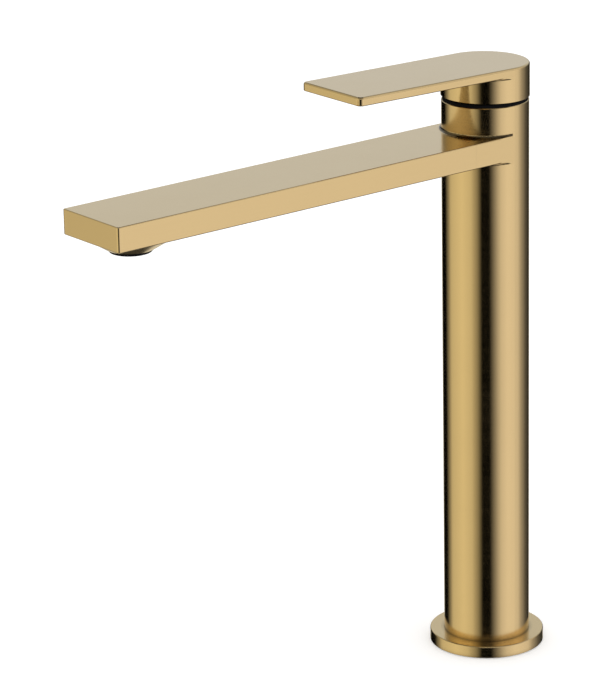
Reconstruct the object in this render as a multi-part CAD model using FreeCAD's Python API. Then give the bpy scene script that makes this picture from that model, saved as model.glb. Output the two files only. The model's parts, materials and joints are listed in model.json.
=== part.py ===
import FreeCAD, Part

import math
import os

# Tall single-lever basin mixer. Millimetres, +Z up.
# The origin is on the column's axis, in the plane of the basin deck. The spout points along -Y.
# Somebody who stands in front of the spout has the hot inlet, at -X, on the left and the cold
# one, at +X, on the right. Everything below the origin sits under the deck.

# ---- Column ----------------------------------------------------------------------------------
body_radius = 21.0
body_wall = 3.0
body_top = 276.5
rim_bevel = 0.25
part_gap = 0.05
cove_end = 1.0

# ---- Base flange and its gasket --------------------------------------------------------------
flange_overhang = 7.0
flange_top = 6.2
flange_edge_round = 0.5
flange_clearance = 0.4
flange_ledge = 2.0
flange_ledge_width = 2.7
gasket_inset = 1.5
gasket_width = 4.0
gasket_height = 1.9

# ---- Spout -----------------------------------------------------------------------------------
collar_height = 14.5
spout_thickness = 12.0
spout_reach = 231.5
spout_stub = 3.0
spout_wall = 2.5
spout_side_wall = 5.0
spout_tip_wall = 3.0
spout_edge_round = 0.6
spout_corner_round = 1.2
root_cove = 1.5

# ---- Conical boss under the tip, and the aerator in it ---------------------------------------
boss_edge = 0.7
boss_height = 5.6
boss_end_radius = 11.4
boss_end_round = 0.4
aerator_margin = 0.6
aerator_thread_radius = 9.25
aerator_rim_radius = 10.2
aerator_rim_height = 1.6
aerator_rim_chamfer = 0.6
aerator_depth = 5.7
aerator_wall = 1.3
aerator_lip = 0.8
aerator_lip_height = 0.7
insert_hole_radius = 0.9
insert_floor = 1.6
insert_rings = 2
screen_thickness = 0.5
screen_hole_radius = 0.7
washer_height = 1.4
washer_width = 1.9

# ---- Cartridge: a slim one, 25 mm across -----------------------------------------------------
cartridge_radius = 12.5
cartridge_housing_wall = 1.6
cartridge_collar_radius = 11.5
cartridge_collar_wall = 2.0
cartridge_collar_height = 7.8
cartridge_housing_height = 19.4
cartridge_cap = 1.0
cartridge_base_height = 5.0
cartridge_clearance = 0.1
disc_film = 0.02
fixed_disc_height = 3.5
moving_disc_height = 3.0
moving_disc_radius = 8.6
carrier_height = 8.3
carrier_flat = 6.1
carrier_step = 2.4
lug_clearance = 0.1
lug_width = 2.6
lug_length = 5.0
rotor_flange_height = 3.3
rotor_running_clearance = 0.08
rotor_stand_up = 0.8
inlet_port_radius = 2.6
inlet_port_x = 5.2
inlet_port_y = 3.2
outlet_port_radius = 3.0
outlet_port_y = 5.5
inlet_seal_radius = 4.0
inlet_seal_height = 1.2
peg_radius = 1.3
peg_length = 1.8
peg_x = 8.5
peg_y = 4.5
mixing_pocket_radius = 5.2
mixing_pocket_depth = 1.8

# ---- Stem of the cartridge -------------------------------------------------------------------
pivot_depth = 8.5
pivot_pin_radius = 1.5
pivot_clearance = 0.05
stem_width = 7.0
stem_top = 20.0
stem_shoulder = 3.5
stem_arm = 8.0
stem_neck_width = 3.2
stem_end_radius = 2.4
stem_end_length = 5.0
stem_play = 0.15
stem_slot_side = 0.2
lever_travel_deg = 23.0

# ---- Retaining nut and cover ring ------------------------------------------------------------
nut_height = 7.6
nut_depth = 2.5
nut_slot_width = 3.0
nut_slot_depth = 2.0
nut_slots = 4
cover_height = 1.5
cover_wall = 2.45
cover_clearance = 0.25
cover_lip_inset = 0.5
cover_lip_height = 0.4

# ---- Waterway insert -------------------------------------------------------------------------
insert_foot = 14.0
cup_wall = 2.0
insert_rim = 4.4
chamber_floor = 2.0
window_width = 8.0
seal_section = 0.9
seal_sides = 8
seal_groove_height = 2.2
seal_groove_inset = 1.2

# ---- Risers and port block -------------------------------------------------------------------
riser_radius = 4.0
riser_wall = 0.8
riser_x = 7.5
riser_socket = 8.0
riser_clearance = 0.1
riser_seal_section = 0.7
riser_seal_inset = 2.0
port_block_bottom = 0.8
port_block_height = 23.0
port_tap_radius = 4.5
port_tap_depth = 12.0

# ---- Deck fixing -----------------------------------------------------------------------------
deck_thickness = 25.0
stud_radius = 3.0
stud_inset = 4.5
stud_engagement = 14.0
stud_length = 90.0
stud_hole_clearance = 0.3
clamp_inset = 1.0
clamp_slot_width = 16.0
clamp_slot_back = 7.0
clamp_gasket_height = 3.0
clamp_plate_height = 2.0
clamp_nut_width = 10.0
clamp_nut_height = 5.0
clamp_nut_chamfer = 0.5

# ---- Lever -----------------------------------------------------------------------------------
hub_overhang = 0.3
hub_gap = 2.0
hub_height = 16.3
hub_wall = 2.8
hub_skirt_wall = 0.9
hub_skirt_height = 5.4
hub_rise_deg = 1.4
hub_cove = 1.2
plate_thickness = 4.25
plate_rise_deg = 1.1
lever_reach = 94.4
lever_corner_round = 2.5
lever_top_round = 1.1
lever_bottom_round = 0.6
socket_radius = 9.5
socket_clearance = 2.2
sleeve_wall = 1.2
sleeve_fit = 0.05
screw_radius = 2.5
screw_length = 5.6
screw_height = 6.4
screw_key_width = 2.5
screw_key_depth = 2.5
cap_radius = 2.6
cap_thickness = 1.8

# ---- Places worked out from the sizes above --------------------------------------------------
bore = body_radius - body_wall
flange_radius = body_radius + flange_overhang
gasket_outer = flange_radius - gasket_inset
clamp_radius = flange_radius - clamp_inset
stud_y = bore - stud_inset
spout_top = body_top - collar_height
spout_bottom = spout_top - spout_thickness
joint_y = -(body_radius + spout_stub)
column_foot = flange_clearance + flange_ledge
nut_top = body_top - nut_depth
shoulder = nut_top - nut_height
base_top = shoulder - cartridge_housing_height
seat = base_top - cartridge_base_height
insert_bottom = seat - insert_foot
insert_seal_radius = bore - part_gap - seal_section
fixed_disc_top = base_top + fixed_disc_height
moving_disc_bottom = fixed_disc_top + disc_film
moving_disc_top = moving_disc_bottom + moving_disc_height
carrier_top = moving_disc_top + carrier_height
pivot_z = body_top - pivot_depth
housing_bore = cartridge_radius - cartridge_housing_wall
rotor_top = shoulder + cartridge_collar_height + rotor_stand_up
rotor_neck = cartridge_collar_radius - cartridge_collar_wall - rotor_running_clearance
disc_y = stem_arm * math.sin(math.radians(lever_travel_deg)) / 2
hub_radius = body_radius + hub_overhang
hub_bottom = body_top + hub_gap
hub_drop = hub_radius * math.tan(math.radians(hub_rise_deg))
lever_top = hub_bottom + hub_height
plate_bottom = lever_top - plate_thickness
sleeve_top = pivot_z + stem_top + sleeve_wall
screw_z = hub_bottom + screw_height
port_block_top = port_block_bottom + port_block_height
boss_end = spout_bottom - boss_height
aerator_y = -(spout_reach - body_radius - aerator_margin)
aerator_bottom = boss_end - aerator_rim_height
lip_top = aerator_bottom + aerator_lip_height
housing_top = boss_end + aerator_depth
aerator_bore = aerator_thread_radius - aerator_wall


def vec(x, y, z):
    return FreeCAD.Vector(x, y, z)


def disc(radius, z_low, z_high, x=0.0, y=0.0):
    """Upright cylinder between two heights."""
    return Part.makeCylinder(radius, z_high - z_low, vec(x, y, z_low))


def ring(outer, inner, z_low, z_high, x=0.0, y=0.0):
    """Upright tube between two heights."""
    return disc(outer, z_low, z_high, x, y).cut(disc(inner, z_low, z_high, x, y))


def block(x_low, x_high, y_low, y_high, z_low, z_high):
    return Part.makeBox(x_high - x_low, y_high - y_low, z_high - z_low, vec(x_low, y_low, z_low))


def pillar(width, z_low, z_high, y=0.0):
    """Upright square bar on the plane x = 0."""
    half = width / 2
    return block(-half, half, y - half, y + half, z_low, z_high)


def rod(start, end, radius):
    """Cylinder from one point to another."""
    path = end.sub(start)
    return Part.makeCylinder(radius, path.Length, start, path)


def turned(points):
    """Solid of revolution about Z from (radius, height) points."""
    outline = Part.makePolygon([vec(r, 0, z) for r, z in points + points[:1]])
    return Part.Face(outline).revolve(vec(0, 0, 0), vec(0, 0, 1), 360)


def tongue(half_width, front, z_low, z_high):
    """Plate with a half-round back about the axis and a square front at y = -front."""
    left = vec(-half_width, 0, z_low)
    right = vec(half_width, 0, z_low)
    front_left = vec(-half_width, -front, z_low)
    front_right = vec(half_width, -front, z_low)
    back = Part.Arc(right, vec(0, half_width, z_low), left).toShape()
    sides = [
        Part.LineSegment(left, front_left).toShape(),
        Part.LineSegment(front_left, front_right).toShape(),
        Part.LineSegment(front_right, right).toShape(),
    ]
    return Part.Face(Part.Wire([back] + sides)).extrude(vec(0, 0, z_high - z_low))


def upright_edges_at(shape, y):
    """Vertical edges that stand at one y."""
    found = []
    for edge in shape.Edges:
        box = edge.BoundBox
        upright = box.ZLength > box.XLength + box.YLength
        if upright and abs(box.YMin - y) < part_gap and box.YLength < part_gap:
            found.append(edge)
    return found


def edges_at(shape, z):
    """Edges that lie in one level plane."""
    low = z - part_gap
    high = z + part_gap
    return [e for e in shape.Edges if e.BoundBox.ZMin >= low and e.BoundBox.ZMax <= high]


def cove(wall, size, z, direction, overlap):
    """Concave ring in front, where a flat face at one height meets an upright round wall.

    It stands on the face (direction 1) or hangs below it (direction -1), reaches into the flat
    piece by the overlap and runs out just before the wall's widest point.
    """
    outer = wall + size
    low, high = sorted((z - direction * overlap, z + direction * size))
    hollow = Part.makeTorus(outer, size, vec(0, 0, z + direction * size))
    in_front = block(-wall, wall, -outer, -cove_end, low, high)
    return ring(outer, wall - size, low, high).cut(hollow).common(in_front)


def save(name, shape):
    shape.exportStep("parts/" + name + ".step")


# ---- Column and spout ------------------------------------------------------------------------
def spout_bar(y_low, y_high):
    """Plain length of the spout's bar with its long edges rounded."""
    bar = block(-body_radius, body_radius, y_low, y_high, spout_bottom, spout_top)
    long_edges = [e for e in bar.Edges if e.BoundBox.YLength > e.BoundBox.XLength + e.BoundBox.ZLength]
    return bar.makeFillet(spout_edge_round, long_edges)


def body_column():
    column = disc(body_radius, column_foot, body_top)
    column = column.makeChamfer(rim_bevel, edges_at(column, body_top))
    column = column.fuse([
        spout_bar(joint_y, 0),
        cove(body_radius, root_cove, spout_top, 1, spout_edge_round),
        cove(body_radius, root_cove, spout_bottom, -1, spout_edge_round),
    ])
    column = column.cut(disc(bore, column_foot, body_top))
    return column.cut(spout_channel()).removeSplitter()


def spout_channel():
    half_width = body_radius - spout_side_wall
    return block(-half_width, half_width, -(spout_reach - spout_tip_wall), -bore / 2,
                 spout_bottom + spout_wall, spout_top - spout_wall)


def spout_arm():
    """Bar from the column's stub to the square tip, with the boss for the aerator below it."""
    tip_y = -spout_reach
    arm = block(-body_radius, body_radius, tip_y, joint_y, spout_bottom, spout_top)
    arm = arm.makeFillet(spout_corner_round, upright_edges_at(arm, tip_y))
    joint = [e for e in arm.Edges if e.BoundBox.YMin > joint_y - part_gap]
    upright = [e for e in arm.Edges if e.BoundBox.ZLength > spout_thickness / 2]
    skip = [e.hashCode() for e in joint + upright]
    arm = arm.makeFillet(spout_edge_round, [e for e in arm.Edges if e.hashCode() not in skip])
    washer_top = housing_top + washer_height
    return arm.fuse(aerator_boss()).cut([
        spout_channel(),
        disc(aerator_thread_radius + part_gap, boss_end, washer_top, 0, aerator_y),
        disc(aerator_thread_radius - washer_width, washer_top, spout_bottom + spout_wall, 0, aerator_y),
    ])


def aerator_boss():
    """Cone under the spout, as wide as the spout's flat underside."""
    cone = Part.makeCone(body_radius - boss_edge, boss_end_radius, boss_height,
                         vec(0, aerator_y, spout_bottom), vec(0, 0, -1))
    return cone.makeFillet(boss_end_round, edges_at(cone, boss_end))


# ---- Base flange -----------------------------------------------------------------------------
def base_flange():
    flange = disc(flange_radius, flange_clearance, flange_top)
    flange = flange.makeFillet(flange_edge_round, edges_at(flange, flange_top))
    flange = flange.cut(disc(body_radius + part_gap, column_foot, flange_top))
    flange = flange.cut(disc(body_radius - flange_ledge_width, flange_clearance, column_foot))
    groove_inner = gasket_outer - gasket_width - part_gap
    return flange.cut(ring(gasket_outer + part_gap, groove_inner, flange_clearance, gasket_height))


def base_gasket():
    return ring(gasket_outer, gasket_outer - gasket_width, 0, gasket_height)


# ---- Water supply inside the column ----------------------------------------------------------
def riser_sockets(open_end, inward):
    """Sockets for both risers, with O-ring grooves, from an open end into the block."""
    cutters = []
    for x in (-riser_x, riser_x):
        depth = open_end + inward * riser_socket
        groove_start = open_end + inward * riser_seal_inset
        groove_end = groove_start + inward * (2 * riser_seal_section + 2 * riser_clearance)
        groove_radius = riser_radius + 2 * riser_seal_section + riser_clearance
        cutters.append(disc(riser_radius + riser_clearance, min(open_end, depth), max(open_end, depth), x))
        cutters.append(disc(groove_radius, min(groove_start, groove_end), max(groove_start, groove_end), x))
    return cutters


def port_block():
    brass = disc(bore - part_gap, port_block_bottom, port_block_top)
    cutters = riser_sockets(port_block_top, -1)
    for x in (-riser_x, riser_x):
        cutters.append(disc(port_tap_radius, port_block_bottom, port_block_bottom + port_tap_depth, x))
        cutters.append(disc(riser_radius - riser_wall, port_block_bottom, port_block_top, x))
    tap_top = port_block_bottom + stud_engagement
    for y in (-stud_y, stud_y):
        cutters.append(disc(stud_radius + part_gap, port_block_bottom, tap_top, 0, y))
    return brass.cut(cutters)


def riser(x):
    low = port_block_top - riser_socket + part_gap
    high = insert_bottom + riser_socket - part_gap
    return ring(riser_radius, riser_radius - riser_wall, low, high, x)


def seal_ring(radius, section, z, x=0.0):
    """Upright O-ring; its section has a few flat sides in place of a circle."""
    outline = []
    for number in range(seal_sides):
        angle = 2 * math.pi * (number + 0.5) / seal_sides
        outline.append((radius + section * math.cos(angle), z + section * math.sin(angle)))
    seal = turned(outline)
    seal.translate(vec(x, 0, 0))
    return seal


def riser_seals():
    seal_radius = riser_radius + riser_seal_section + riser_clearance / 2
    offset = riser_seal_inset + riser_seal_section + riser_clearance
    rings = []
    for x in (-riser_x, riser_x):
        for z in (port_block_top - offset, insert_bottom + offset):
            rings.append(seal_ring(seal_radius, riser_seal_section, z, x))
    return Part.makeCompound(rings)


# ---- Waterway insert -------------------------------------------------------------------------
def insert_groove_floors():
    """Lower ends of the two O-ring grooves of the insert."""
    return [
        insert_bottom + insert_foot / 2 + seal_groove_inset,
        shoulder - seal_groove_inset - seal_groove_height,
    ]


def waterway_insert():
    outer = bore - part_gap
    cup_bore = cartridge_radius + cartridge_clearance
    cup_outer = cup_bore + cup_wall
    insert = disc(outer, insert_bottom, seat - chamber_floor)
    insert = insert.fuse([
        disc(cup_outer, seat - chamber_floor, shoulder),
        disc(outer, shoulder - insert_rim, shoulder),
    ])
    cutters = [disc(cup_bore, seat, shoulder)]
    cutters += riser_sockets(insert_bottom, 1)
    for z in insert_groove_floors():
        cutters.append(ring(outer, insert_seal_radius - seal_section - part_gap, z, z + seal_groove_height))
    for side in (-1, 1):
        start = vec(side * riser_x, 0, insert_bottom + riser_socket - inlet_port_radius / 2)
        end = vec(side * inlet_port_x, inlet_port_y, seat + part_gap)
        cutters.append(rod(start, end, inlet_port_radius))
        cutters.append(disc(peg_radius + part_gap, seat - peg_length, seat, side * peg_x, -peg_y))
    cutters.append(block(-window_width / 2, window_width / 2, -cup_outer, -cup_bore / 2,
                         seat + inlet_seal_height, base_top))
    return insert.cut(cutters).removeSplitter()


def insert_seals():
    middles = [z + seal_groove_height / 2 for z in insert_groove_floors()]
    return Part.makeCompound([seal_ring(insert_seal_radius, seal_section, z) for z in middles])


# ---- Cartridge -------------------------------------------------------------------------------
def inlet_places():
    return [(-inlet_port_x, inlet_port_y), (inlet_port_x, inlet_port_y)]


def cartridge_base():
    base = disc(cartridge_radius, seat, base_top)
    cutters = []
    for x, y in inlet_places():
        cutters.append(disc(inlet_port_radius, seat, base_top, x, y))
        cutters.append(disc(inlet_seal_radius, seat, seat + inlet_seal_height, x, y))
    middle = (seat + inlet_seal_height + base_top) / 2
    cutters.append(disc(outlet_port_radius, middle, base_top, 0, -outlet_port_y))
    cutters.append(block(-outlet_port_radius, outlet_port_radius, -cartridge_radius, -outlet_port_y,
                         seat + inlet_seal_height, base_top - inlet_seal_height))
    base = base.cut(cutters)
    pegs = [disc(peg_radius, seat - peg_length, seat, side * peg_x, -peg_y) for side in (-1, 1)]
    return base.fuse(pegs)


def inlet_seals():
    return Part.makeCompound([
        ring(inlet_seal_radius, inlet_port_radius, seat, seat + inlet_seal_height, x, y)
        for x, y in inlet_places()
    ])


def fixed_disc():
    ceramic = disc(housing_bore - cartridge_clearance, base_top, fixed_disc_top)
    ports = [disc(inlet_port_radius, base_top, fixed_disc_top, x, y) for x, y in inlet_places()]
    ports.append(disc(outlet_port_radius, base_top, fixed_disc_top, 0, -outlet_port_y))
    return ceramic.cut(ports)


def moving_disc():
    ceramic = disc(moving_disc_radius, moving_disc_bottom, moving_disc_top, 0, disc_y)
    pocket_top = moving_disc_bottom + mixing_pocket_depth
    pocket = disc(mixing_pocket_radius, moving_disc_bottom, pocket_top, 0, disc_y)
    return ceramic.cut(pocket)


def disc_carrier():
    carrier = disc(moving_disc_radius, moving_disc_top, carrier_top, 0, disc_y)
    half_slot = stem_end_radius + stem_play
    half_length = stem_end_length / 2 + stem_play
    slot_floor = pivot_z - stem_arm - stem_end_radius - stem_play
    cutters = [block(-half_length, half_length, -half_slot, half_slot, slot_floor, carrier_top)]
    far = 2 * moving_disc_radius
    for low, high in ((-far, -carrier_flat), (carrier_flat, far)):
        cutters.append(block(low, high, -far, far, carrier_top - carrier_step, carrier_top))
    return carrier.cut(cutters)


def cartridge_housing():
    collar_bore = cartridge_collar_radius - cartridge_collar_wall
    collar_top = shoulder + cartridge_collar_height
    return turned([
        (housing_bore, base_top),
        (cartridge_radius, base_top),
        (cartridge_radius, shoulder),
        (cartridge_collar_radius, shoulder),
        (cartridge_collar_radius, collar_top),
        (collar_bore, collar_top),
        (collar_bore, shoulder - cartridge_cap),
        (housing_bore, shoulder - cartridge_cap),
    ])


def cartridge_rotor():
    """Turns in the housing's collar; two lugs below straddle the flats of the disc carrier."""
    flange_high = shoulder - cartridge_cap - cartridge_clearance
    flange_low = flange_high - rotor_flange_height
    rotor = disc(housing_bore - cartridge_clearance, flange_low, flange_high)
    rotor = rotor.fuse(disc(rotor_neck, flange_high, rotor_top))
    inner = carrier_flat + lug_clearance
    lug_low = carrier_top - carrier_step + lug_clearance
    for side in (-1, 1):
        ends = sorted((side * inner, side * (inner + lug_width)))
        rotor = rotor.fuse(block(ends[0], ends[1], -lug_length / 2, lug_length / 2, lug_low, flange_low))
    swing = math.radians(lever_travel_deg)
    half = stem_width / 2
    back = half / math.cos(swing) + (rotor_top - pivot_z) * math.tan(swing) + stem_play
    front = stem_arm * math.sin(swing) + stem_end_radius + stem_play
    slot = block(-half - stem_slot_side / 2, half + stem_slot_side / 2, -front, back, flange_low, rotor_top)
    hole = rod(vec(-rotor_neck, 0, pivot_z), vec(rotor_neck, 0, pivot_z), pivot_pin_radius)
    return rotor.cut([slot, hole]).removeSplitter()


def pivot_pin():
    half_length = rotor_neck - 2 * stem_slot_side
    return rod(vec(-half_length, 0, pivot_z), vec(half_length, 0, pivot_z), pivot_pin_radius)


def retaining_nut():
    nut = ring(bore - part_gap, cartridge_collar_radius + cartridge_clearance, shoulder, nut_top)
    half = nut_slot_width / 2
    slot = block(cartridge_radius, bore, -half, half, nut_top - nut_slot_depth, nut_top)
    slots = []
    for number in range(nut_slots):
        cutter = slot.copy()
        cutter.rotate(vec(0, 0, 0), vec(0, 0, 1), number * 360 / nut_slots + 180 / nut_slots)
        slots.append(cutter)
    return nut.cut(slots)


def cover_ring():
    """Ring that fills the gap between the column and the lever's hub, set back from both."""
    spigot = bore - part_gap
    inner = spigot - cover_wall
    flange = hub_radius - hub_skirt_wall - cover_clearance
    lip = body_radius - cover_lip_inset
    return turned([
        (inner, nut_top),
        (spigot, nut_top),
        (spigot, body_top),
        (lip, body_top),
        (lip, body_top + cover_lip_height),
        (flange, body_top + cover_height),
        (inner, body_top + cover_height),
    ])


# ---- Lever and the pieces that move with it --------------------------------------------------
def rising_slab(z_low, z_high, pivot_height, rise_deg):
    """Broad slab that rises toward the front, turned about the line y = 0 at one height."""
    far = 2 * lever_reach
    slab = block(-far, far, -far, far, z_low, z_high)
    slab.rotate(vec(0, 0, pivot_height), vec(1, 0, 0), -rise_deg)
    return slab


def rim_of(shape, direction):
    """Edges round the topmost flat face (direction 1) or the lowest one (direction -1)."""
    flat = max(shape.Faces, key=lambda face: direction * face.CenterOfMass.z)
    return flat.Edges


def lever_plate():
    outline = tongue(hub_radius, lever_reach, hub_bottom, lever_top + hub_height)
    outline = outline.makeFillet(lever_corner_round, upright_edges_at(outline, -lever_reach))
    plate = outline.common(rising_slab(plate_bottom, lever_top, lever_top, plate_rise_deg))
    plate = plate.makeFillet(lever_top_round, rim_of(plate, 1))
    return plate.makeFillet(lever_bottom_round, rim_of(plate, -1))


def lever_hub():
    """Round skirt below the plate. Its lower edge rises a little toward the front."""
    hub = disc(hub_radius, hub_bottom - hub_drop, lever_top - plate_thickness / 2)
    return hub.common(rising_slab(hub_bottom, hub_bottom + hub_height, hub_bottom, hub_rise_deg))


def hub_root():
    """Cove under the plate, at the plate's slope."""
    root = cove(hub_radius, hub_cove, plate_bottom, -1, lever_bottom_round)
    root.rotate(vec(0, 0, plate_bottom - hub_cove), vec(1, 0, 0), -plate_rise_deg)
    return root


def lever_handle():
    skirt_top = hub_bottom + hub_skirt_height
    socket_bottom = hub_bottom + socket_clearance
    handle = lever_plate().fuse([lever_hub(), hub_root()]).cut([
        disc(hub_radius - hub_skirt_wall, hub_bottom - hub_drop, skirt_top),
        disc(hub_radius - hub_wall, skirt_top, plate_bottom),
    ])
    handle = handle.fuse(disc(socket_radius, socket_bottom, plate_bottom))
    sleeve_width = stem_width + 2 * (sleeve_wall + sleeve_fit)
    return handle.cut([
        pillar(sleeve_width, socket_bottom, sleeve_top),
        rod(vec(0, 0, screw_z), vec(0, socket_radius, screw_z), screw_radius),
        rod(vec(0, socket_radius, screw_z), vec(0, hub_radius, screw_z), cap_radius),
    ]).removeSplitter()


def lever_stem():
    """Square stem on the pivot pin; the round end below the pivot drives the disc carrier."""
    stem = pillar(stem_width, pivot_z - stem_shoulder, pivot_z + stem_top)
    end_z = pivot_z - stem_arm
    half = stem_end_length / 2
    neck_half = stem_neck_width / 2
    neck = block(-half, half, -neck_half, neck_half, end_z, pivot_z - stem_shoulder)
    end = rod(vec(-half, 0, end_z), vec(half, 0, end_z), stem_end_radius)
    hole_radius = pivot_pin_radius + pivot_clearance
    hole = rod(vec(-stem_width, 0, pivot_z), vec(stem_width, 0, pivot_z), hole_radius)
    return stem.fuse([neck, end]).cut(hole).removeSplitter()


def stem_sleeve():
    low = hub_bottom + socket_clearance
    width = stem_width + 2 * sleeve_wall
    return pillar(width, low, sleeve_top).cut([
        pillar(stem_width + sleeve_fit, low, pivot_z + stem_top),
        rod(vec(0, 0, screw_z), vec(0, width, screw_z), screw_radius + part_gap),
    ])


def grub_screw():
    start = stem_width / 2 + part_gap
    end = start + screw_length
    corner = screw_key_width / math.sqrt(3)
    angles = [math.radians(60 * number) for number in range(7)]
    key = Part.makePolygon([vec(corner * math.cos(a), end, screw_z + corner * math.sin(a)) for a in angles])
    socket = Part.Face(key).extrude(vec(0, -screw_key_depth, 0))
    return rod(vec(0, start, screw_z), vec(0, end, screw_z), screw_radius - part_gap).cut(socket)


def screw_cap():
    plug = rod(vec(0, 0, screw_z), vec(0, hub_radius, screw_z), cap_radius - part_gap)
    return plug.common(ring(hub_radius, hub_radius - cap_thickness, hub_bottom, lever_top))


# ---- Aerator ---------------------------------------------------------------------------------
def on_aerator_axis(points):
    """Solid of revolution about the aerator's axis."""
    piece = turned(points)
    piece.translate(vec(0, aerator_y, 0))
    return piece


def aerator_housing():
    chamfer_top = aerator_bottom + aerator_rim_chamfer
    return on_aerator_axis([
        (aerator_bore - aerator_lip, aerator_bottom),
        (aerator_rim_radius - aerator_rim_chamfer, aerator_bottom),
        (aerator_rim_radius, chamfer_top),
        (aerator_rim_radius, boss_end),
        (aerator_thread_radius, boss_end),
        (aerator_thread_radius, housing_top),
        (aerator_bore, housing_top),
        (aerator_bore, lip_top),
        (aerator_bore - aerator_lip, lip_top),
    ])


def ring_of_holes(radius, outer, z_low, z_high):
    """Centre hole and rings of six, twelve and so on, evenly spaced inside a circle."""
    pitch = (outer - radius) / (insert_rings + 0.5)
    holes = [disc(radius, z_low, z_high, 0, aerator_y)]
    for number in range(1, insert_rings + 1):
        count = 6 * number
        for step in range(count):
            angle = 2 * math.pi * step / count
            x = number * pitch * math.cos(angle)
            y = aerator_y + number * pitch * math.sin(angle)
            holes.append(disc(radius, z_low, z_high, x, y))
    return holes


def aerator_insert():
    outer = aerator_bore - part_gap
    floor_top = lip_top + insert_floor
    top = housing_top - screen_thickness
    cup = on_aerator_axis([
        (0, lip_top),
        (outer, lip_top),
        (outer, top),
        (outer - aerator_wall / 2, top),
        (outer - aerator_wall / 2, floor_top),
        (0, floor_top),
    ])
    return cup.cut(ring_of_holes(insert_hole_radius, outer - aerator_wall / 2, lip_top, floor_top))


def aerator_screen():
    outer = aerator_bore - part_gap
    low = housing_top - screen_thickness
    screen = disc(outer, low, housing_top, 0, aerator_y)
    return screen.cut(ring_of_holes(screen_hole_radius, outer, low, housing_top))


def aerator_washer():
    return ring(aerator_thread_radius, aerator_thread_radius - washer_width, housing_top,
                housing_top + washer_height, 0, aerator_y)


# ---- Fixing under the deck -------------------------------------------------------------------
def fixing_studs():
    top = port_block_bottom + stud_engagement
    return Part.makeCompound([disc(stud_radius, top - stud_length, top, 0, y) for y in (-stud_y, stud_y)])


def horseshoe(z_low, z_high):
    """Round plate with an open slot for the supply hoses and a hole for each stud."""
    half = clamp_slot_width / 2
    plate = disc(clamp_radius, z_low, z_high)
    cutters = [
        disc(half, z_low, z_high, -clamp_slot_back),
        block(-clamp_slot_back, clamp_radius, -half, half, z_low, z_high),
    ]
    for y in (-stud_y, stud_y):
        cutters.append(disc(stud_radius + stud_hole_clearance, z_low, z_high, 0, y))
    return plate.cut(cutters)


def clamp_gasket():
    return horseshoe(-deck_thickness - clamp_gasket_height, -deck_thickness)


def clamp_plate():
    high = -deck_thickness - clamp_gasket_height
    return horseshoe(high - clamp_plate_height, high)


def clamp_nut(y):
    """Hexagon nut with both ends chamfered, hanging below the clamp plate."""
    high = -deck_thickness - clamp_gasket_height - clamp_plate_height
    low = high - clamp_nut_height
    corner = clamp_nut_width / math.sqrt(3)
    angles = [math.radians(60 * number) for number in range(7)]
    hexagon = Part.makePolygon([vec(corner * math.cos(a), corner * math.sin(a), low) for a in angles])
    nut = Part.Face(hexagon).extrude(vec(0, 0, clamp_nut_height))
    nut = nut.common(turned([
        (0, low),
        (corner - clamp_nut_chamfer, low),
        (corner, low + clamp_nut_chamfer),
        (corner, high - clamp_nut_chamfer),
        (corner - clamp_nut_chamfer, high),
        (0, high),
    ]))
    nut.translate(vec(0, y, 0))
    return nut.cut(disc(stud_radius + part_gap, low, high, 0, y))


def clamp_nuts():
    return Part.makeCompound([clamp_nut(y) for y in (-stud_y, stud_y)])


os.makedirs("parts", exist_ok=True)
save("body_column", body_column())
save("spout_arm", spout_arm())
save("base_flange", base_flange())
save("base_gasket", base_gasket())
save("port_block", port_block())
save("hot_riser", riser(-riser_x))
save("cold_riser", riser(riser_x))
save("riser_seals", riser_seals())
save("waterway_insert", waterway_insert())
save("insert_seals", insert_seals())
save("cartridge_base", cartridge_base())
save("inlet_seals", inlet_seals())
save("fixed_disc", fixed_disc())
save("moving_disc", moving_disc())
save("disc_carrier", disc_carrier())
save("cartridge_housing", cartridge_housing())
save("cartridge_rotor", cartridge_rotor())
save("pivot_pin", pivot_pin())
save("lever_stem", lever_stem())
save("retaining_nut", retaining_nut())
save("cover_ring", cover_ring())
save("lever_handle", lever_handle())
save("stem_sleeve", stem_sleeve())
save("grub_screw", grub_screw())
save("screw_cap", screw_cap())
save("aerator_housing", aerator_housing())
save("aerator_insert", aerator_insert())
save("aerator_screen", aerator_screen())
save("aerator_washer", aerator_washer())
save("fixing_studs", fixing_studs())
save("clamp_gasket", clamp_gasket())
save("clamp_plate", clamp_plate())
save("clamp_nuts", clamp_nuts())
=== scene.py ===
import json
import math

import bpy
from mathutils import Matrix, Vector


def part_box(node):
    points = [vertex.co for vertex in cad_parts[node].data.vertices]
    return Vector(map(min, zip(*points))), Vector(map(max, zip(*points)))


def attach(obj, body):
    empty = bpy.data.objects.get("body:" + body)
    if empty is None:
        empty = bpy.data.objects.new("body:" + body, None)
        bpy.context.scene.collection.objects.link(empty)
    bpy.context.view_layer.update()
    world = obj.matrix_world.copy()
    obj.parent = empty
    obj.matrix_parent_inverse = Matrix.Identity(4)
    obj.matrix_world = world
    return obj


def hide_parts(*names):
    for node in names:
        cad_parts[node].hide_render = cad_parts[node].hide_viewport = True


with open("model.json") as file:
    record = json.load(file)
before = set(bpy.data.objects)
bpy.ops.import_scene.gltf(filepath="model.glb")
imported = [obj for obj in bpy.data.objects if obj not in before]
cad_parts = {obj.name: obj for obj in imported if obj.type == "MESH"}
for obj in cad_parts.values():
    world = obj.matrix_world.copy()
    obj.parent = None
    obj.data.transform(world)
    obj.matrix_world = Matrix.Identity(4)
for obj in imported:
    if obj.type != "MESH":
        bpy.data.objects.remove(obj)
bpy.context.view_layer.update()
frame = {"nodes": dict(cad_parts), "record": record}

# ---- Camera: a long lens, in front of the mixer and to its cold side, looking down -------------
CAMERA_AZIMUTH = math.radians(48.71)
CAMERA_DISTANCE = 1.7292
CAMERA_HEIGHT = 0.7165
CAMERA_YAW = math.radians(2.990)
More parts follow.
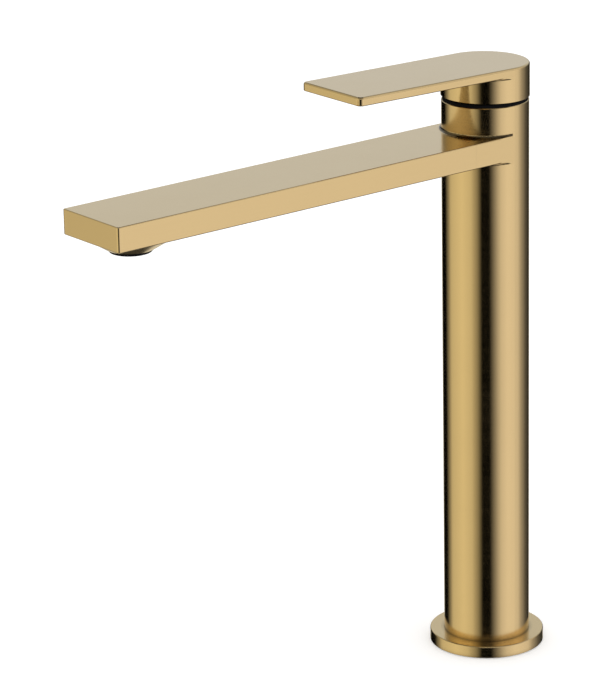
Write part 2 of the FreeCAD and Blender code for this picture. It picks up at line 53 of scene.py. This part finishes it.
CAMERA_PITCH = math.radians(17.989)
CAMERA_ROLL = math.radians(-1.090)
CAMERA_LENS = 196.28
SENSOR_WIDTH = 36.0

# ---- Node helpers ------------------------------------------------------------------------------
# A millimetre in metres.
MM = 0.001
WHITE = (1.0, 1.0, 1.0, 1.0)
# The middle part of a noise's values, in which nearly all of them lie.
NOISE_SPAN = (0.3, 0.7)


class Graph:
    """A material's or world's nodes, with short ways to add and join them."""

    def __init__(self, owner):
        owner.use_nodes = True
        self.tree = owner.node_tree
        self.tree.nodes.clear()

    def add(self, kind, **settings):
        node = self.tree.nodes.new(kind)
        for name, value in settings.items():
            setattr(node, name, value)
        return node

    def join(self, source, target):
        self.tree.links.new(source, target)

    def feed(self, target, value):
        """Joins a socket to the target, or sets the target to a plain value."""
        if isinstance(value, bpy.types.NodeSocket):
            self.join(value, target)
        else:
            target.default_value = value

    def math(self, operation, first, second=0.0, third=0.0):
        node = self.add("ShaderNodeMath", operation=operation)
        for socket, value in zip(node.inputs, (first, second, third)):
            self.feed(socket, value)
        return node.outputs[0]

    def vector(self, operation, first, second=(0.0, 0.0, 0.0)):
        node = self.add("ShaderNodeVectorMath", operation=operation)
        self.feed(node.inputs[0], first)
        self.feed(node.inputs[1], second)
        gives_number = operation in ("DOT_PRODUCT", "LENGTH")
        return node.outputs["Value" if gives_number else "Vector"]

    def split(self, vector):
        node = self.add("ShaderNodeSeparateXYZ")
        self.join(vector, node.inputs[0])
        return node.outputs

    def combine(self, x, y, z):
        node = self.add("ShaderNodeCombineXYZ")
        for socket, value in zip(node.inputs, (x, y, z)):
            self.feed(socket, value)
        return node.outputs[0]

    def noise(self, vector, scale, detail):
        node = self.add("ShaderNodeTexNoise")
        self.join(vector, node.inputs["Vector"])
        node.inputs["Scale"].default_value = scale
        node.inputs["Detail"].default_value = detail
        return node.outputs["Fac"]

    def remap(self, value, from_low, from_high, to_low, to_high):
        node = self.add("ShaderNodeMapRange")
        for socket, number in zip(node.inputs, (value, from_low, from_high, to_low, to_high)):
            self.feed(socket, number)
        return node.outputs[0]

    def mix(self, factor, first, second):
        node = self.add("ShaderNodeMix", data_type="RGBA")
        for number, value in ((0, factor), (6, first), (7, second)):
            self.feed(node.inputs[number], value)
        return node.outputs[2]

    def ramp(self, value, stops):
        node = self.add("ShaderNodeValToRGB")
        self.join(value, node.inputs[0])
        elements = node.color_ramp.elements
        while len(elements) < len(stops):
            elements.new(0.5)
        for element, (position, color) in zip(elements, stops):
            element.position = position
            element.color = (*color, 1.0)
        return node.outputs[0]


def shader_material(name):
    """A new material with one Principled shader; returns it with its graph and shader."""
    material = bpy.data.materials.new(name)
    graph = Graph(material)
    shader = graph.add("ShaderNodeBsdfPrincipled")
    output = graph.add("ShaderNodeOutputMaterial")
    graph.join(shader.outputs[0], output.inputs[0])
    return material, graph, shader


def object_point(graph):
    return graph.add("ShaderNodeTexCoord").outputs["Object"]


def tinted(color, factor):
    """The colour made darker or lighter, ready for a colour socket."""
    return tuple(min(1.0, factor * part) for part in color) + (1.0,)


def grey(level):
    return (level, level, level, 1.0)


def give_or_take(graph, noise, middle, swing):
    """A noise spread over the middle value, give or take the swing."""
    return graph.remap(noise, *NOISE_SPAN, middle - swing, middle + swing)


def raise_grain(graph, shader, grain, strength, depth, normal=None):
    """Fine bumps on the surface, over its own normal or over the one given."""
    bump = graph.add("ShaderNodeBump")
    bump.inputs["Strength"].default_value = strength
    bump.inputs["Distance"].default_value = depth
    graph.join(grain, bump.inputs["Height"])
    if normal:
        graph.join(normal, bump.inputs["Normal"])
    graph.join(bump.outputs[0], shader.inputs["Normal"])


# ---- Brushed metal -----------------------------------------------------------------------------
# Lines: how close together, and how soon one changes along its length.
LINES_PER_METRE = 2600.0
STREAK_PER_METRE = 22.0
STREAK_PER_RADIAN = 0.6
LINE_DETAIL = 3.0
LINE_ROUGHNESS = 0.03
LINE_DEPTH = 0.01 * MM
LINE_STRENGTH = 0.25
DARK_LINE = 0.94
LIGHT_LINE = 1.03
# A slow drift of tone, and smudges in the gloss.
LINE_SHARE = 0.7
DRIFT_SHARE = 0.3
DRIFT_SCALE = 14.0
DRIFT_DETAIL = 2.0
SMUDGE_SCALE = 45.0
SMUDGE_DETAIL = 4.0
SMUDGE_SPAN = (0.35, 0.65)
SMUDGE_ROUGHNESS = 0.015
# Edges: their rounding, how far a normal has to lean to count as one, and their polish.
EDGE_ROUND = 0.08 * MM
EDGE_SAMPLES = 4
EDGE_START = 0.995
EDGE_FULL = 0.93
# A painted highlight: edges a little lighter in colour than the faces.
EDGE_HIGHLIGHT_TONE = 1.06
EDGE_POLISH = 0.02
# Narrow corners, darkened with painted shade: how near the other side is, and how shut in they are.
CREVICE_REACH = 3.5 * MM
CREVICE_SAMPLES = 8
CREVICE_CLOSED = 0.45
CREVICE_OPEN = 0.85
CREVICE_SHADE_TONE = 0.60
# The hollows beside the column where the spout flares out of it. Each pair is where one fades in.
# They are darkened with painted shade.
CORNER_OUT = (0.005 * MM, 0.04 * MM)
CORNER_UP = (0.02 * MM, 0.10 * MM)
CORNER_HEIGHT = 1.6 * MM
CORNER_FADE = 0.05 * MM
CORNER_SHADE_TONE = 0.12
# A turn of the brushing's direction, as a share of a full circle.
QUARTER_TURN = 0.25


def lines_around(graph, point):
    """Fine lines that run round the column's axis, on walls and on flat rings alike."""
    x, y, z = graph.split(point)
    angle = graph.math("ARCTAN2", y, x)
    radius = graph.vector("LENGTH", graph.combine(x, y, 0.0))
    turn = graph.math("MULTIPLY", angle, STREAK_PER_RADIAN)
    across = graph.math("MULTIPLY", graph.math("ADD", radius, z), LINES_PER_METRE)
    return graph.noise(graph.combine(turn, across, 0.0), 1.0, LINE_DETAIL)


def lines_along(graph, point):
    """Fine lines that run along the spout and the lever."""
    x, y, z = graph.split(point)
    across = graph.math("MULTIPLY", graph.math("ADD", x, z), LINES_PER_METRE)
    along = graph.math("MULTIPLY", y, STREAK_PER_METRE)
    return graph.noise(graph.combine(across, along, 0.0), 1.0, LINE_DETAIL)


def polished_and_highlit_edges(graph, rounded):
    """1 along sharp edges and 0 on open faces."""
    plain = graph.add("ShaderNodeNewGeometry").outputs["Normal"]
    agreement = graph.vector("DOT_PRODUCT", rounded, plain)
    return graph.remap(agreement, EDGE_START, EDGE_FULL, 0.0, 1.0)


def clear_of_painted_shade(graph):
    """1 on open faces, and less in narrow corners, where painted shade darkens the colour."""
    node = graph.add("ShaderNodeAmbientOcclusion", samples=CREVICE_SAMPLES)
    node.inputs["Distance"].default_value = CREVICE_REACH
    return graph.remap(node.outputs["AO"], CREVICE_CLOSED, CREVICE_OPEN, 0.0, 1.0)


def painted_corner_shade(graph, point):
    """1 in the small hollows over the spout's top where it flares out of the column. Painted shade
    darkens them."""
    spout_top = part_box("spout_arm")[1][2]
    column_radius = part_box("body_column")[1][0]
    corner_top = spout_top + CORNER_HEIGHT
    x, y, z = graph.split(point)
    radius = graph.vector("LENGTH", graph.combine(x, y, 0.0))
    outside = graph.remap(radius, *(column_radius + out for out in CORNER_OUT), 0.0, 1.0)
    over_top = graph.remap(z, *(spout_top + up for up in CORNER_UP), 0.0, 1.0)
    below_end = graph.remap(z, corner_top, corner_top + CORNER_FADE, 1.0, 0.0)
    return graph.math("MULTIPLY", outside, graph.math("MULTIPLY", over_top, below_end))


def spread_upwards(graph, shader, amount):
    """Draws reflections out across lines that run round the upright axis."""
    tangent = graph.add("ShaderNodeTangent", direction_type="RADIAL", axis="Z")
    graph.join(tangent.outputs[0], shader.inputs["Tangent"])
    shader.inputs["Anisotropic"].default_value = amount
    shader.inputs["Anisotropic Rotation"].default_value = QUARTER_TURN


def brushed(name, color, roughness, lines, spread=0.0):
    """Brushed metal: fine lines in the bump and the roughness, a slow drift of tone, polished edges
    with a painted highlight, and painted shade in the corners."""
    material, graph, shader = shader_material(name)
    point = object_point(graph)
    streaks = lines(graph, point)
    drift = graph.noise(point, DRIFT_SCALE, DRIFT_DETAIL)
    smudge = graph.noise(point, SMUDGE_SCALE, SMUDGE_DETAIL)
    bevel = graph.add("ShaderNodeBevel", samples=EDGE_SAMPLES)
    bevel.inputs["Radius"].default_value = EDGE_ROUND
    edges = polished_and_highlit_edges(graph, bevel.outputs[0])
    line_part = graph.math("MULTIPLY", streaks, LINE_SHARE)
    drift_part = graph.math("MULTIPLY", drift, DRIFT_SHARE)
    tone = graph.math("ADD", line_part, drift_part)
    finish = graph.mix(tone, tinted(color, DARK_LINE), tinted(color, LIGHT_LINE))
    # Painted highlight: sharp edges a little lighter in colour. The polish in the roughness below
    # is real.
    finish = graph.mix(edges, finish, tinted(color, EDGE_HIGHLIGHT_TONE))
    # Painted shade: the hollows over the spout's top darken to about a tenth of the colour.
    finish = graph.mix(painted_corner_shade(graph, point), finish, tinted(color, CORNER_SHADE_TONE))
    # Painted shade: narrow corners darken towards six tenths of the colour.
    finish = graph.mix(clear_of_painted_shade(graph), tinted(color, CREVICE_SHADE_TONE), finish)
    graph.join(finish, shader.inputs["Base Color"])
    rough = give_or_take(graph, streaks, roughness, LINE_ROUGHNESS)
    smudges = graph.remap(smudge, *SMUDGE_SPAN, -SMUDGE_ROUGHNESS, SMUDGE_ROUGHNESS)
    rough = graph.math("ADD", rough, smudges)
    graph.join(graph.math("MULTIPLY_ADD", edges, -EDGE_POLISH, rough), shader.inputs["Roughness"])
    shader.inputs["Metallic"].default_value = 1.0
    if spread:
        spread_upwards(graph, shader, spread)
    raise_grain(graph, shader, streaks, LINE_STRENGTH, LINE_DEPTH, bevel.outputs[0])
    return material


def machined(name, color, roughness):
    """Plain turned metal, with faint tool marks round the axis."""
    return brushed(name, color, roughness, lines_around)


# ---- Plastic, rubber and ceramic ---------------------------------------------------------------
DUSTY_TONE = 0.85
CLEAN_TONE = 1.12
TONE_SCALE = 60.0
TONE_DETAIL = 2.0
GRAIN_DETAIL = 3.0
GRAIN_ROUGHNESS = 0.06
GRAIN_DEPTH = 0.02 * MM
GRAIN_STRENGTH = 0.2


def moulded(name, color, roughness, grain, shine=0.5):
    """Moulded plastic, rubber or ceramic, with that many specks of grain to the metre."""
    material, graph, shader = shader_material(name)
    point = object_point(graph)
    speck = graph.noise(point, grain, GRAIN_DETAIL)
    drift = graph.noise(point, TONE_SCALE, TONE_DETAIL)
    finish = graph.mix(drift, tinted(color, DUSTY_TONE), tinted(color, CLEAN_TONE))
    graph.join(finish, shader.inputs["Base Color"])
    rough = give_or_take(graph, speck, roughness, GRAIN_ROUGHNESS)
    graph.join(rough, shader.inputs["Roughness"])
    shader.inputs["Specular IOR Level"].default_value = shine
    raise_grain(graph, shader, speck, GRAIN_STRENGTH, GRAIN_DEPTH)
    return material


# ---- Which piece gets which material -----------------------------------------------------------
GOLD = (0.755, 0.565, 0.275)
BRASS = (0.80, 0.62, 0.34)
COPPER = (0.86, 0.50, 0.36)
STEEL = (0.62, 0.62, 0.61)
RUBBER = (0.022, 0.022, 0.022)
# Partly the plastic's own black and partly painted shade: near-black, so the ring in the gap under
# the lever reads as shadow.
BLACK_PLASTIC_AND_SHADE = (0.004, 0.004, 0.005)
COOL_GREY = (0.16, 0.165, 0.18)
WARM_WHITE = (0.74, 0.74, 0.71)
CERAMIC = (0.82, 0.81, 0.77)


def finishes():
    """One material for each node, by name."""
    gold_around = brushed(
        "satin_gold_around", GOLD, roughness=0.16, lines=lines_around, spread=0.8)
    gold_along = brushed("satin_gold_along", GOLD, roughness=0.14, lines=lines_along)
    by_slot = {
        "satin_gold": gold_around,
        "plain_brass": machined("plain_brass", BRASS, roughness=0.30),
        "copper_tube": machined("copper_tube", COPPER, roughness=0.28),
        "steel": machined("plain_steel", STEEL, roughness=0.32),
        "black_rubber": moulded("black_rubber", RUBBER, roughness=0.75, grain=2500.0, shine=0.25),
        # Painted shade in part: the low shine keeps black parts such as the ring under the lever as
        # dark as a shadowed gap.
        "black_plastic": moulded("black_plastic", BLACK_PLASTIC_AND_SHADE, roughness=0.60, grain=3500.0, shine=0.08),
        "grey_plastic": moulded("grey_plastic", COOL_GREY, roughness=0.40, grain=3500.0),
        "white_plastic": moulded("white_plastic", WARM_WHITE, roughness=0.38, grain=3500.0),
        "disc_ceramic": moulded("disc_ceramic", CERAMIC, roughness=0.18, grain=5000.0),
    }
    chosen = {part["node"]: by_slot[part["material_slot"]] for part in frame["record"]["subparts"]}
    chosen["spout_arm"] = gold_along
    chosen["lever_handle"] = gold_along
    return chosen


def dress_nodes(materials):
    for node, material in materials.items():
        item = frame["nodes"][node]
        for slot in item.material_slots:
            slot.material = material
        if not item.material_slots:
            item.data.materials.append(material)


# ---- Threaded studs ----------------------------------------------------------------------------
THREAD_PITCH = 1.0 * MM
THREAD_DEPTH = 0.55 * MM
THREAD_SIDES = 24


def thread_mesh(radius, low, high, x, y):
    """Points and faces of a right-hand thread round an upright rod, with a flat root and crest."""
    root = radius - THREAD_DEPTH
    profile = [root, root, radius, radius]
    rows = len(profile)
    turns = math.ceil((high - low) / THREAD_PITCH) + 1
    points = []
    for row in range(turns * rows + 1):
        for side in range(THREAD_SIDES):
            angle = 2 * math.pi * side / THREAD_SIDES
            climb = THREAD_PITCH * (row / rows + side / THREAD_SIDES - 1)
            height = min(high, max(low, low + climb))
            reach = profile[row % rows]
            points.append((x + reach * math.cos(angle), y + reach * math.sin(angle), height))
    faces = []
    for row in range(turns * rows):
        for side in range(THREAD_SIDES):
            here = row * THREAD_SIDES + side
            last = side == THREAD_SIDES - 1
            beside = (row + rows) * THREAD_SIDES if last else here + 1
            above_beside = beside + THREAD_SIDES
            if above_beside < len(points):
                faces.append((here, beside, above_beside, here + THREAD_SIDES))
    ring = [2 * math.pi * side / THREAD_SIDES for side in range(THREAD_SIDES)]
    for height in (low, high):
        faces.append(tuple(range(len(points), len(points) + THREAD_SIDES)))
        points.extend((x + root * math.cos(a), y + root * math.sin(a), height) for a in ring)
    return points, faces


def threaded_studs(material):
    """Both fixing studs with their thread, in the place of the plain rods."""
    low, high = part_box("fixing_studs")
    radius = (high[0] - low[0]) / 2
    points = []
    faces = []
    for y in (low[1] + radius, high[1] - radius):
        more_points, more_faces = thread_mesh(radius, low[2], high[2], 0.0, y)
        faces.extend(tuple(number + len(points) for number in face) for face in more_faces)
        points.extend(more_points)
    mesh = bpy.data.meshes.new("threaded_studs")
    mesh.from_pydata(points, [], faces)
    mesh.materials.append(material)
    studs = bpy.data.objects.new("threaded_studs", mesh)
    bpy.context.scene.collection.objects.link(studs)
    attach(studs, "faucet_body")
    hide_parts("fixing_studs")


# ---- Studio ------------------------------------------------------------------------------------
# What the metal mirrors. Bearings are in degrees from the camera's side, with left negative.
LEFT_TINT = (1.00, 0.94, 0.76)
RIGHT_TINT = (1.00, 0.97, 1.00)
BACK_TINT = (0.80, 0.855, 0.96)
LOW_TINTS = [(-180, LEFT_TINT), (-10, LEFT_TINT), (10, RIGHT_TINT), (120, RIGHT_TINT),
             (180, LEFT_TINT)]
HIGH_TINTS = [(-180, BACK_TINT), (-140, BACK_TINT), (-115, LEFT_TINT), (-10, LEFT_TINT),
              (10, RIGHT_TINT), (115, RIGHT_TINT), (140, BACK_TINT), (180, BACK_TINT)]
TINT_CHANGE = (-5, 5)
STRAIGHT_DOWN = 0.60
# Each layer: the elevations between which it takes over from the one below, then brightness by
# bearing.
LAYERS = [
    # Well below: a dark gap.
    (-68, -58, [(-180, 0.05), (180, 0.05)]),
    # Below: mirrored by the roundings of lower edges, and at the back by the boss.
    (-42, -34, [(-180, 0.80), (-140, 0.50), (-110, 0.45), (-60, 0.80), (-32, 0.50), (-10, 0.0),
                (12, 0.0), (35, 0.60), (60, 0.90), (100, 0.90), (130, 0.60), (160, 0.80),
                (180, 0.80)]),
    # Just below eye level: mirrored by upright walls.
    (-32, -26, [(-180, 0.60), (-170, 0.55), (-158, 0.0), (-130, 0.0), (-114, 0.32), (-104, 0.70),
                (-95, 0.77), (-65, 0.92), (-47, 0.82), (-39, 0.76), (-31, 0.54), (-22, 0.34),
                (-15, 0.12), (-10, 0.0), (10, 0.0), (17, 0.13), (25, 0.33), (33, 0.58), (42, 0.82),
                (59, 0.97), (70, 0.96), (83, 0.90), (94, 0.82), (108, 0.43), (130, 0.12),
                (158, 0.0), (170, 0.55), (180, 0.60)]),
    # A little above it: mirrored by level faces at the back, and by the foot of the collar.
    (2, 12, [(-180, 0.86), (-160, 0.86), (-142, 0.38), (-96, 0.42), (-80, 0.40), (-62, 0.36),
             (-45, 0.20), (-24, 0.04), (-12, 0.0), (35, 0.0), (65, 0.20), (90, 0.50),
             (150, 0.60), (165, 0.86), (180, 0.86)]),
    # Higher: mirrored by the flange at the back, and by the foot of the column.
    (17, 20, [(-180, 0.82), (-160, 0.82), (-130, 0.45), (-105, 0.60), (-80, 1.00), (-45, 1.00),
              (-12, 0.0), (12, 0.0), (45, 1.00), (95, 1.00), (130, 0.55), (165, 0.82),
              (180, 0.82)]),
    # High up: mirrored by the roundings of upper edges, and from behind by the lifted lever.
    (30, 34, [(-180, 0.05), (-165, 0.08), (-150, 0.40), (-96, 0.40), (-70, 0.30), (60, 0.30),
              (84, 0.60), (156, 0.60), (170, 0.08), (180, 0.05)]),
    # Overhead: a dark gap at the back, then a dim ceiling that ends in the dark.
    (52, 58, [(-180, 0.0), (-100, 0.0), (-70, 0.30), (70, 0.30), (100, 0.0), (180, 0.0)]),
    (66, 73, [(-180, 0.30), (-100, 0.30), (-70, 0.12), (70, 0.12), (100, 0.30), (180, 0.30)]),
    (77, 81, [(-180, 0.05), (180, 0.05)]),
]
# The fill light's brightness. Then, in degrees, the elevations between which it rises and falls,
# and the bearings at which it is still full and then gone.
FILL_LEVEL = 0.85
FILL_RISE = (8, 12)
FILL_FALL = (24, 19)
FILL_FULL = 30
FILL_GONE = 60
# A ray's glossy depth is under this after one mirror, and over it after two.
ONE_MIRROR = 1.5


def by_bearing(graph, bearing, stops):
    """Grey or colour that changes with the bearing."""
    around = graph.math("MULTIPLY_ADD", bearing, 1 / (2 * math.pi), 0.5)
    return graph.ramp(around, [(0.5 + degrees / 360.0, value) for degrees, value in stops])


def above(graph, height, low_degrees, high_degrees):
    """0 under the low elevation, 1 over the high one, and smooth between. The other way round if
    the first is the higher."""
    low = math.sin(math.radians(low_degrees))
    high = math.sin(math.radians(high_degrees))
    node = graph.add("ShaderNodeMapRange", interpolation_type="SMOOTHSTEP")
    graph.join(height, node.inputs["Value"])
    node.inputs["From Min"].default_value = low
    node.inputs["From Max"].default_value = high
    return node.outputs[0]


def front_fill(graph, bearing, height, light_path):
    """1 where a soft light low in front lights level faces seen from behind. A mirror seen in
    another mirror doesn't show it."""
    first = graph.math("LESS_THAN", light_path.outputs["Glossy Depth"], ONE_MIRROR)
    rise = above(graph, height, *FILL_RISE)
    fall = above(graph, height, *FILL_FALL)
    full, gone = math.radians(FILL_FULL), math.radians(FILL_GONE)
    near = graph.remap(graph.math("ABSOLUTE", bearing), full, gone, 1.0, 0.0)
    within = graph.math("MULTIPLY", rise, fall)
    return graph.math("MULTIPLY", first, graph.math("MULTIPLY", within, near))


def studio_world():
    """White to the camera and to matt surfaces. Metal sees pale panels with dark gaps between."""
    world = bpy.data.worlds.new("studio")
    bpy.context.scene.world = world
    graph = Graph(world)
    direction = graph.add("ShaderNodeTexCoord").outputs["Generated"]
    front = (math.sin(CAMERA_AZIMUTH), -math.cos(CAMERA_AZIMUTH), 0.0)
    right = (math.cos(CAMERA_AZIMUTH), math.sin(CAMERA_AZIMUTH), 0.0)
    ahead = graph.vector("DOT_PRODUCT", direction, front)
    aside = graph.vector("DOT_PRODUCT", direction, right)
    bearing = graph.math("ARCTAN2", aside, ahead)
    height = graph.split(direction)[2]
    seen = grey(STRAIGHT_DOWN)
    for start, end, levels in LAYERS:
        layer = by_bearing(graph, bearing, [(degrees, 3 * (level,)) for degrees, level in levels])
        seen = graph.mix(above(graph, height, start, end), seen, layer)
    low_tint = by_bearing(graph, bearing, LOW_TINTS)
    high_tint = by_bearing(graph, bearing, HIGH_TINTS)
    tint = graph.mix(above(graph, height, *TINT_CHANGE), low_tint, high_tint)
    seen = graph.vector("MULTIPLY", seen, tint)
    light_path = graph.add("ShaderNodeLightPath")
    fill = front_fill(graph, bearing, height, light_path)
    seen = graph.mix(fill, seen, grey(FILL_LEVEL))
    background = graph.add("ShaderNodeBackground")
    glossy = light_path.outputs["Is Glossy Ray"]
    graph.join(graph.mix(glossy, WHITE, seen), background.inputs["Color"])
    background.inputs["Strength"].default_value = 1.0
    output = graph.add("ShaderNodeOutputWorld")
    graph.join(background.outputs[0], output.inputs[0])


# ---- Deck --------------------------------------------------------------------------------------
DECK_SIZE = 6.0
DECK_WHITE = 0.97
# What the camera sees on top of it, so that it stays white.
DECK_LIFT = 0.22
DECK_ROUGHNESS = (0.85, 0.95)
DECK_GRAIN = 300.0


def deck_floor():
    """The white deck that the base stands on, which the metal doesn't mirror."""
    half = DECK_SIZE / 2
    corners = [(-half, -half, 0), (half, -half, 0), (half, half, 0), (-half, half, 0)]
    mesh = bpy.data.meshes.new("deck")
    mesh.from_pydata(corners, [], [(0, 1, 2, 3)])
    deck = bpy.data.objects.new("deck", mesh)
    bpy.context.scene.collection.objects.link(deck)
    material, graph, shader = shader_material("deck_white")
    grain = graph.noise(object_point(graph), DECK_GRAIN, GRAIN_DETAIL)
    graph.join(graph.remap(grain, *NOISE_SPAN, *DECK_ROUGHNESS), shader.inputs["Roughness"])
    shader.inputs["Base Color"].default_value = grey(DECK_WHITE)
    shader.inputs["Specular IOR Level"].default_value = 0.0
    shader.inputs["Emission Color"].default_value = WHITE
    seen_directly = graph.add("ShaderNodeLightPath").outputs["Is Camera Ray"]
    graph.join(graph.math("MULTIPLY", seen_directly, DECK_LIFT), shader.inputs["Emission Strength"])
    mesh.materials.append(material)
    deck.visible_glossy = False


def camera():
    """The photograph's camera: it stands at an azimuth, distance and height, and is then aimed."""
    heading = CAMERA_AZIMUTH + CAMERA_YAW
    level = Vector((-math.sin(heading), math.cos(heading), 0.0))
    forward = level * math.cos(CAMERA_PITCH) - Vector((0.0, 0.0, math.sin(CAMERA_PITCH)))
    right = Vector((math.cos(heading), math.sin(heading), 0.0))
    up = right.cross(forward)
    rolled_right = right * math.cos(CAMERA_ROLL) + up * math.sin(CAMERA_ROLL)
    rolled_up = up * math.cos(CAMERA_ROLL) - right * math.sin(CAMERA_ROLL)
    place = Vector((
        CAMERA_DISTANCE * math.sin(CAMERA_AZIMUTH),
        -CAMERA_DISTANCE * math.cos(CAMERA_AZIMUTH),
        CAMERA_HEIGHT,
    ))
    data = bpy.data.cameras.new("camera")
    data.lens = CAMERA_LENS
    data.sensor_width = SENSOR_WIDTH
    item = bpy.data.objects.new("camera", data)
    turn = Matrix((rolled_right, rolled_up, -forward)).transposed().to_4x4()
    item.matrix_world = Matrix.Translation(place) @ turn
    bpy.context.scene.collection.objects.link(item)
    bpy.context.scene.camera = item


# ---- The scene ---------------------------------------------------------------------------------
bpy.context.scene.view_settings.view_transform = "Standard"
camera()
studio_world()
deck_floor()
materials = finishes()
dress_nodes(materials)
threaded_studs(materials["fixing_studs"])
